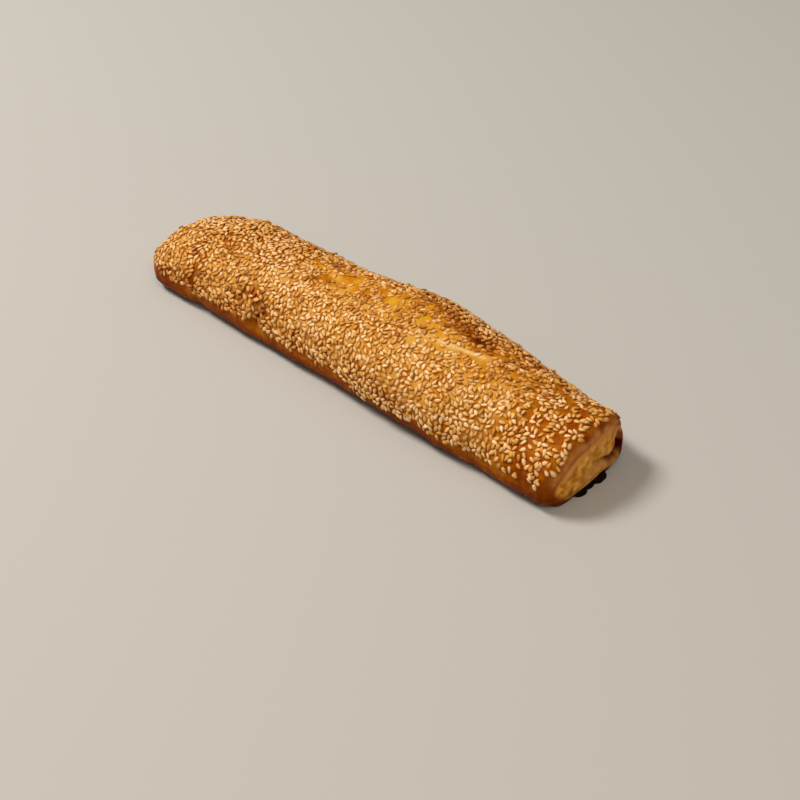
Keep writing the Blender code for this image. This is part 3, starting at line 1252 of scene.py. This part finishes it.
@dataclass
class SeedCover:
    """How thickly the seeds lie at each place of the crust, and how toasted they are there."""

    crust: Crust
    ragged_lump: float = 0.009
    front_edge: float = 0.0135
    front_ragged: float = 0.0025
    front_rise: float = 0.0035
    front_rise_at: Hill = Hill(-0.001, 0.008)
    front_dip: float = 0.0030
    front_dip_at: Hill = Hill(0.023, 0.016)
    back_edge: float = 0.0095
    back_ragged: float = 0.003
    side_fade: float = 0.0045
    top: Fade = Fade(0.016, 0.010)
    near_edge: float = 0.1318
    near_top: float = 0.0060
    near_ragged: float = 0.0026
    near_back: float = 0.0035
    near_back_side: Fade = Fade(0.004, 0.014)
    near_fade: float = 0.003
    near_thin: float = 0.48
    near_thin_length: Fade = Fade(0.080, 0.040)
    far_face: Fade = Fade(-0.93, 0.10)
    crown_thin: float = 0.30
    crown_uneven: float = 0.26
    crown_lump: float = 0.030
    crown_length: Band = Band(Fade(-0.062, 0.030), Fade(0.112, -0.024))
    crown_width: Band = Band(Fade(-0.017, 0.008), Fade(0.020, -0.010))
    crown_height: Fade = Fade(0.024, 0.006)
    stretch_thin: float = 0.12
    streak_thin: float = 0.70
    stretch_power: float = 0.8
    patch_thin: float = 0.65
    fullest: float = 0.95
    clump: float = 0.0060
    clump_strength: float = 0.9
    clump_edge: float = 0.25
    stray_share: float = 0.03
    least_room: float = 0.05
    toasted_back: float = 0.18
    toasted_back_side: Fade = Fade(0.004, 0.022)
    toasted_patch: float = 2.0
    toasted_crown: float = 0.26
    toasted_front: float = 0.22
    toasted_front_length: Fade = Fade(-0.050, -0.030)
    toasted_front_side: Fade = Fade(-0.006, -0.012)
    toasted_uneven: float = 0.30
    toasted_lump: float = 0.024
    limits: tuple[float, ...] = (0.22, 0.62, 1.10)

    def at(self, point: Vector, normal: Vector) -> float:
        """The share of full cover that a place gets.

        Args:
            point: The place on the crust.
            normal: The way out of the crust there.

        Returns:
            A share from 0, bare, to 1, covered.
        """
        ragged = noise.noise(point / self.ragged_lump + Vector((5.1, 2.2, 0.7)))
        wide = noise.noise(point / self.crown_lump + Vector((0.3, 7.1, 3.7)))
        limit = self.back_edge + self.back_ragged * ragged
        if normal.y < 0:
            high = self.front_rise * self.front_rise_at.at(point.x)
            high = high - self.front_dip * self.front_dip_at.at(point.x)
            limit = self.front_edge + high + self.front_ragged * ragged
        low = smooth((point.z - limit) / self.side_fade + 0.5)
        edge = self.near_edge + self.near_top * self.top.at(point.z) + self.near_ragged * ragged
        edge = edge - self.near_back * self.near_back_side.at(point.y)
        near = smooth((edge - point.x) / self.near_fade)
        near = near * (1 - self.near_thin * self.near_thin_length.at(point.x))
        far = self.far_face.at(normal.x) if normal.x < 0 else 1.0
        sparse = 1 - self.crown_at(point) * (self.crown_thin + self.crown_uneven * wide)
        streak = Hill(self.crust.streak_x, self.crust.streak_reach).at(point.x)
        stretch = self.crust.form.stretch_share(np.array(point[:])) ** self.stretch_power
        parted = 1 - (self.stretch_thin + self.streak_thin * streak) * stretch
        bare = min(patched(point.x, point.y, "bare"), 1.0) if point.z > self.top.start else 0.0
        return float(low * near * far * sparse * parted * (1 - self.patch_thin * bare))

    def taken(self, point: Vector, normal: Vector, draw: random.Random) -> bool:
        """Whether a seed may lie at a place, which gathers them in clumps where the cover is thin.

        Args:
            point: The place on the crust.
            normal: The way out of the crust there.
            draw: The source of chance.

        Returns:
            True where there may be one.
        """
        room = self.at(point, normal)
        clump = noise.noise(point / self.clump + Vector((1.9, 0.2, 6.6)))
        share = smooth((self.fullest * room - 0.5 - self.clump_strength * clump) / self.clump_edge + 0.5)
        return room > self.least_room and draw.random() < share + self.stray_share * room

    def crown_at(self, point: Vector) -> float:
        """1 on the stretched crown, where the seeds are sunk in and spread apart, and 0 away from it."""
        level = self.crown_length.at(point.x) * self.crown_width.at(point.y)
        return float(level * self.crown_height.at(point.z))

    def kind_at(self, point: Vector, draw: random.Random) -> SeedKind:
        """The kind of seed that lies at a place, toasted more often at the back.

        Args:
            point: The place on the crust.
            draw: The source of chance.

        Returns:
            The kind.
        """
        value = draw.random() + self.toasted_back * self.toasted_back_side.at(point.y)
        value += self.toasted_patch * max(patched(point.x, point.y, "bake"), 0.0)
        value += self.toasted_crown * self.crown_at(point)
        front = self.toasted_front_length.at(point.x) * self.toasted_front_side.at(point.y)
        value += self.toasted_front * front + self.toasted_uneven * noise.noise(point / self.toasted_lump)
        return list(SeedKind)[sum(value >= limit for limit in self.limits)]


@dataclass
class SeedCoat:
    """The sesame seeds, laid one by one where there is room, and made as one piece for each kind."""

    crust: Crust
    cover: SeedCover
    length: float = 0.0038
    width: float = 0.00202
    thickness: float = 0.00094
    taper: float = 0.42
    tip_rim: float = 0.28
    lift: float = 0.00012
    sunk: float = 0.00022
    tries: int = 110000
    crowding: float = 0.835
    uneven_lift: float = 0.0003
    cell: float = 0.0038
    stacked_share: float = 0.06
    stacked_below: float = 0.037
    stacked_lift: float = 0.75
    stacked_turn: tuple[float, float] = (0.5, 2.6)
    stacked_aside: float = 0.0009
    size_spread: float = 0.10
    flow_lump: float = 0.016
    flow_turns: float = 1.7
    flow_spread: float = 0.6
    spins: int = 3
    roll_spread: float = 0.28
    roll_lift: float = 0.18
    pitch_spread: float = 0.10
    tone: tuple[float, float] = (0.45, 0.26)
    tilt_limit: float = math.radians(-75)
    seed_segments: int = 8
    seed_rings: int = 6
    least_scale: tuple[float, float, float] = (0.94, 0.90, 0.85)
    most_scale: tuple[float, float, float] = (1.06, 1.10, 1.20)
    nearby: float = 1.15
    closest: float = 0.5
    random_seed: int = 23

    def surface_at(self, row: float, column: float) -> tuple[Vector, Vector, Vector]:
        """The crust's point, way out and way along at a place between rings.

        Args:
            row: The place among the rings.
            column: The place round a ring.

        Returns:
            The point and the two vectors.
        """
        points, normals = self.crust.points, self.crust.normals
        low = int(row)
        left = int(column)
        right = (left + 1) % points.shape[1]
        weights = (
            (low, left, (1 - row + low) * (1 - column + left)),
            (low + 1, left, (row - low) * (1 - column + left)),
            (low, right, (1 - row + low) * (column - left)),
            (low + 1, right, (row - low) * (column - left)),
        )
        point = sum(points[r, c] * share for r, c, share in weights)
        normal = sum(normals[r, c] * share for r, c, share in weights)
        along = points[low + 1, left] - points[low, left]
        return Vector(point), Vector(normal).normalized(), Vector(along)

    def clear(self, middle: Vector, axis: Vector, near: list[Laid], size: float) -> float:
        """How much room a seed has.

        Args:
            middle: The seed's middle.
            axis: The way its length lies.
            near: The middle, the way and the size of each seed near by.
            size: The seed's size, 1 for the usual one.

        Returns:
            The distance to the tightest neighbour, where 1 is touching.
        """
        tightest = math.inf
        for other, other_axis, other_size in near:
            apart = middle - other
            distance = apart.length
            if distance > self.length * self.nearby:
                continue
            if distance < self.width * self.closest:
                return 0.0
            way = apart / distance
            reach = self.reach(way.dot(axis)) * size + self.reach(way.dot(other_axis)) * other_size
            tightest = min(tightest, distance / reach)
        return tightest

    def reach(self, cosine: float) -> float:
        """How far a seed reaches from its middle in a direction, from the cosine to its length.

        Args:
            cosine: The cosine of the angle between the direction and the seed's length.

        Returns:
            The distance to its rim.
        """
        half, side = self.length / 2, self.width / 2
        share = min(cosine * cosine, 1.0)
        return half * side / math.sqrt(side * side * share + half * half * (1 - share))

    def lay(self) -> list[SeedPlace]:
        """Finds the places of all seeds.

        Returns:
            One place for each seed.
        """
        draw = random.Random(self.random_seed)
        points = self.crust.points
        rows, columns = points.shape[:2]
        steps = np.linalg.norm(np.diff(points, axis=0), axis=-1).mean(1)
        run = np.concatenate(([0.0], np.cumsum(steps)))
        first = int(np.argmax(self.crust.row_tilt > self.tilt_limit))
        cells: dict[tuple[int, int, int], list[Laid]] = {}
        places: list[SeedPlace] = []
        for _ in range(self.tries):
            row = float(np.interp(draw.uniform(run[first], run[-1]), run, np.arange(rows)))
            row = min(row, rows - 1.001)
            column = draw.uniform(0, columns - 0.001)
            point, normal, along = self.surface_at(row, column)
            size = draw.uniform(1 - self.size_spread, 1 + self.size_spread)
            flow = self.flow_turns * noise.noise(point / self.flow_lump + Vector((2.0, 4.0, 8.0)))
            spins = [flow * math.pi + draw.gauss(0, self.flow_spread) for _ in range(self.spins)]
            if not self.cover.taken(point, normal, draw):
                continue
            key = tuple(int(math.floor(value / self.cell)) for value in point)
            around = product(*((value - 1, value, value + 1) for value in key))
            near = [other for cell in around for other in cells.get(cell, ())]
            side = normal.cross(along).normalized()
            ahead = side.cross(normal)
            ways = [ahead * math.cos(spin) + side * math.sin(spin) for spin in spins]
            best = max(ways, key=lambda way: self.clear(point, way, near, size))
            if self.clear(point, best, near, size) < self.crowding:
                continue
            cells.setdefault(key, []).append((point, best, size))
            places.append(self.settle(point, normal, best, size, draw))
            if draw.random() < self.stacked_share and point.z < self.stacked_below:
                places.append(self.stack(point, normal, best, draw))
        return places

    def settle(
        self, point: Vector, normal: Vector, way: Vector, size: float, draw: random.Random, lift: float = 0.0
    ) -> SeedPlace:
        """Lays one seed.

        Args:
            point: Its place on the crust.
            normal: The way out of the crust there.
            way: The way its length lies.
            size: Its size, 1 for the usual one.
            draw: The source of chance.
            lift: How much higher than usual it lies.

        Returns:
            The seed's place.
        """
        roll = draw.gauss(0, self.roll_spread)
        pitch = draw.gauss(0, self.pitch_spread)
        up = (normal + way * pitch + way.cross(normal) * roll).normalized()
        ahead = (way - up * way.dot(up)).normalized()
        turn = Matrix((ahead, up.cross(ahead), up)).transposed().to_euler()
        height = self.lift + lift - self.sunk * self.cover.crown_at(point)
        height += abs(roll) * self.width * self.roll_lift
        height += draw.uniform(0, self.uneven_lift)
        middle = point + normal * height
        tone = min(max(draw.gauss(*self.tone), 0.0), 1.0)
        return SeedPlace(middle, tuple(turn), size, tone, self.cover.kind_at(point, draw))

    def stack(self, point: Vector, normal: Vector, way: Vector, draw: random.Random) -> SeedPlace:
        """Lays one more seed across another.

        Args:
            point: The other seed's place on the crust.
            normal: The way out of the crust there.
            way: The way the other seed's length lies.
            draw: The source of chance.

        Returns:
            The seed's place.
        """
        spin = draw.uniform(*self.stacked_turn)
        across = way * math.cos(spin) + normal.cross(way) * math.sin(spin)
        aside = point + across * draw.uniform(-self.stacked_aside, self.stacked_aside)
        size = draw.uniform(1 - self.size_spread, 1.0)
        return self.settle(aside, normal, across, size, draw, self.thickness * self.stacked_lift)

    def tree(self) -> bpy.types.NodeTree:
        """Builds the node tree that turns places into seeds.

        Returns:
            A Geometry Nodes tree with the seed's sizes as named inputs.
        """
        tree = bpy.data.node_groups.new("seed_coat", "GeometryNodeTree")
        face = tree.interface
        face.new_socket("Seeds", in_out="OUTPUT", socket_type="NodeSocketGeometry")
        face.new_socket("Places", in_out="INPUT", socket_type="NodeSocketGeometry")
        for name in ("Half length", "Half width", "Half thickness", "Taper"):
            face.new_socket(name, in_out="INPUT", socket_type="NodeSocketFloat")
        face.new_socket("Chance", in_out="INPUT", socket_type="NodeSocketInt")
        face.new_socket("Finish", in_out="INPUT", socket_type="NodeSocketMaterial")
        paint = Painter(tree)
        given = paint.add("NodeGroupInput").outputs
        size_of_ball = {"Segments": self.seed_segments, "Rings": self.seed_rings, "Radius": 1.0}
        ball = paint.add("GeometryNodeMeshUVSphere", size_of_ball)
        lying = paint.add(
            "GeometryNodeTransform",
            {"Geometry": ball.outputs["Mesh"], "Rotation": (0.0, math.pi / 2, 0.0)},
        )
        at = paint.add("ShaderNodeSeparateXYZ", {0: paint.add("GeometryNodeInputPosition").outputs[0]})
        narrowed = paint.math("POWER", paint.math("SUBTRACT", 1.0, at.outputs["X"]), given["Taper"])
        flat = paint.math("MULTIPLY_ADD", narrowed, 0.5, 0.5)
        squared = paint.math("MULTIPLY", at.outputs["Z"], at.outputs["Z"])
        plateau = paint.math("MULTIPLY", at.outputs["Z"], paint.math("MULTIPLY_ADD", squared, -0.5, 1.5))
        level = paint.math("SQRT", paint.math("SUBTRACT", 1.0, squared))
        # rim is highest round the seed's edge and towards its tip, where the finish paints shade and a
        # darker tip.
        rim = paint.math("MULTIPLY_ADD", at.outputs["X"], self.tip_rim, level)
        across = paint.math("MULTIPLY", at.outputs["Y"], narrowed)
        height = paint.math("MULTIPLY", plateau, flat)
        drop = paint.add(
            "ShaderNodeCombineXYZ",
            {
                "X": paint.math("MULTIPLY", at.outputs["X"], given["Half length"]),
                "Y": paint.math("MULTIPLY", across, given["Half width"]),
                "Z": paint.math("MULTIPLY", height, given["Half thickness"]),
            },
        )
        marked = paint.add(
            "GeometryNodeStoreNamedAttribute",
            {"Geometry": lying.outputs["Geometry"], "Name": "rim", "Value": rim},
            data_type="FLOAT",
            domain="POINT",
        )
        seed = paint.add(
            "GeometryNodeSetPosition",
            {"Geometry": marked.outputs["Geometry"], "Position": drop.outputs["Vector"]},
        )
        rounded = paint.add("GeometryNodeSetShadeSmooth", {"Geometry": seed.outputs["Geometry"]})
        turn = paint.add("GeometryNodeInputNamedAttribute", {"Name": "turn"}, data_type="FLOAT_VECTOR")
        size = paint.add("GeometryNodeInputNamedAttribute", {"Name": "size"}, data_type="FLOAT")
        vary = paint.add(
            "FunctionNodeRandomValue",
            {0: self.least_scale, 1: self.most_scale, "Seed": given["Chance"]},
            data_type="FLOAT_VECTOR",
        )
        scale = paint.add(
            "ShaderNodeVectorMath",
            {0: vary.outputs[0], "Scale": size.outputs["Attribute"]},
            operation="SCALE",
        )
        turned_by = paint.add("FunctionNodeEulerToRotation", {0: turn.outputs["Attribute"]})
        laid = paint.add(
            "GeometryNodeInstanceOnPoints",
            {
                "Points": given["Places"],
                "Instance": rounded.outputs["Geometry"],
                "Rotation": turned_by.outputs["Rotation"],
                "Scale": scale.outputs["Vector"],
            },
        )
        real = paint.add("GeometryNodeRealizeInstances", {"Geometry": laid.outputs["Instances"]})
        dressed = paint.add(
            "GeometryNodeSetMaterial",
            {"Geometry": real.outputs["Geometry"], "Material": given["Finish"]},
        )
        paint.add("NodeGroupOutput", {"Seeds": dressed.outputs["Geometry"]})
        return tree

    def grow(self, tree: bpy.types.NodeTree, kind: SeedKind, places: list[SeedPlace]) -> bpy.types.Object:
        """Makes the seeds of one kind as one piece.

        Args:
            tree: The seeds' node tree.
            kind: Which kind of seed.
            places: Where they lie.

        Returns:
            The seeds, riding on the roll's body.
        """
        mesh = bpy.data.meshes.new(f"{kind.value}_seed_places")
        mesh.from_pydata([place.middle for place in places], [], [])
        values = {
            ("turn", "FLOAT_VECTOR", "vector"): [angle for place in places for angle in place.turn],
            ("size", "FLOAT", "value"): [place.size for place in places],
            ("tone", "FLOAT", "value"): [place.tone for place in places],
        }
        for (name, kind_of_value, key), numbers in values.items():
            mesh.attributes.new(name, kind_of_value, "POINT").data.foreach_set(key, numbers)
        source = linked(mesh.name, mesh)
        grow = source.modifiers.new("seeds", "NODES")
        grow.node_group = tree
        given = {
            "Half length": self.length / 2,
            "Half width": self.width / 2,
            "Half thickness": self.thickness / 2,
            "Taper": self.taper,
            "Chance": self.random_seed,
            "Finish": SEED_FINISHES[kind].make(kind),
        }
        for item in tree.interface.items_tree:
            if item.name in given:
                grow[item.identifier] = given[item.name]
        graph = bpy.context.evaluated_depsgraph_get()
        made = bpy.data.meshes.new_from_object(source.evaluated_get(graph))
        bpy.data.objects.remove(source)
        made.name = f"{kind.value}_seeds"
        return attach(linked(made.name, made))

    def build(self) -> list[bpy.types.Object]:
        """Lays and makes all seeds.

        Returns:
            One piece for each kind.
        """
        places = self.lay()
        LOG.info("%d seeds laid", len(places))
        tree = self.tree()
        shares = {kind: [place for place in places if place.kind is kind] for kind in SeedKind}
        return [self.grow(tree, kind, share) for kind, share in shares.items()]


@dataclass(frozen=True)
class Lamp:
    """A square soft light: where it hangs, the length of its sides, its watts and its colour."""

    place: tuple[float, float, float]
    size: float
    power: float
    colour: Colour


@dataclass(frozen=True)
class Studio:
    """Pale floor, soft lights and the camera at the photo's angle."""

    floor_half: float = 1.3
    floor_colour: Colour = (0.52, 0.51, 0.50)
    floor_roughness: float = 0.8
    floor_specular: float = 0.5
    key_light: Lamp = Lamp((-1.10, -0.52, 1.62), 0.55, 33.5, (1.0, 0.95, 0.86))
    fill_light: Lamp = Lamp((1.00, -0.60, 1.50), 1.0, 9.4, (1.0, 0.88, 0.70))
    camera_place: tuple[float, float, float] = (0.49405, -0.52419, 0.56187)
    camera_target: tuple[float, float, float] = (0.02848, -0.01638, 0.0)
    lens: float = 80.0
    sky_overhead: float = 0.38
    sky_low: float = 0.04
    sky_seen: float = 0.55
    sky_colour: Colour = (1.0, 0.93, 0.81)

    def aim(self, thing: bpy.types.Object, target: Sequence[float]) -> None:
        """Turns a lamp or the camera towards a point."""
        thing.rotation_euler = (Vector(target) - thing.location).to_track_quat("-Z", "Y").to_euler()

    def lay_floor(self) -> None:
        """Lays the floor."""
        half = self.floor_half
        mesh = bpy.data.meshes.new("floor")
        corners = [(-half, -half, 0.0), (half, -half, 0.0), (half, half, 0.0), (-half, half, 0.0)]
        mesh.from_pydata(corners, [], [(0, 1, 2, 3)])
        material, paint = new_material("floor")
        paint.finish(self.floor_colour, self.floor_roughness, self.floor_specular)
        mesh.materials.append(material)
        linked("floor", mesh)

    def hang_light(self, name: str, lamp: Lamp) -> None:
        """Hangs one lamp, aimed at the roll.

        Args:
            name: The lamp's name.
            lamp: Its place, size, power and colour.
        """
        data = bpy.data.lights.new(name, "AREA")
        data.size = lamp.size
        data.energy = lamp.power
        data.color = lamp.colour
        thing = linked(name, data)
        thing.location = lamp.place
        self.aim(thing, (0.0, 0.0, 0.0))

    def light_sky(self) -> None:
        """Lights the studio evenly from above, and less from low down."""
        world = bpy.data.worlds.new("studio")
        world.use_nodes = True
        paint = Painter(world.node_tree)
        way = paint.add("ShaderNodeSeparateXYZ", {0: paint.add("ShaderNodeTexCoord").outputs["Generated"]})
        height = paint.spread(way.outputs["Z"], 0.0, 1.0)
        strength = paint.math("MULTIPLY_ADD", height, self.sky_overhead - self.sky_low, self.sky_low)
        looking = paint.add("ShaderNodeLightPath").outputs["Is Camera Ray"]
        seen = paint.math("MULTIPLY_ADD", looking, self.sky_seen, strength)
        sky = paint.add("ShaderNodeBackground", {"Color": (*self.sky_colour, 1.0), "Strength": seen})
        paint.add("ShaderNodeOutputWorld", {"Surface": sky.outputs["Background"]})
        bpy.context.scene.world = world

    def set_camera(self) -> None:
        """Sets the camera up where the photo was taken from."""
        data = bpy.data.cameras.new("camera")
        data.lens = self.lens
        camera = linked("camera", data)
        camera.location = self.camera_place
        self.aim(camera, self.camera_target)
        bpy.context.scene.camera = camera

    def build(self) -> None:
        """Sets up the whole studio."""
        self.lay_floor()
        self.hang_light("key_light", self.key_light)
        self.hang_light("fill_light", self.fill_light)
        self.light_sky()
        bpy.context.scene.view_settings.view_transform = "Standard"
        self.set_camera()


def main() -> None:
    """Builds the roll and the studio."""
    logging.basicConfig(level=logging.INFO, format="%(message)s")
    crust = Crust(RollForm())
    crust.shape()
    crust.build()
    # Dark lumps of juice and painted shade under the near end's lifted edge.
    JuiceShadeLumps().build()
    SeedCoat(crust, SeedCover(crust)).build()
    Studio().build()


if __name__ == "__main__":
    main()
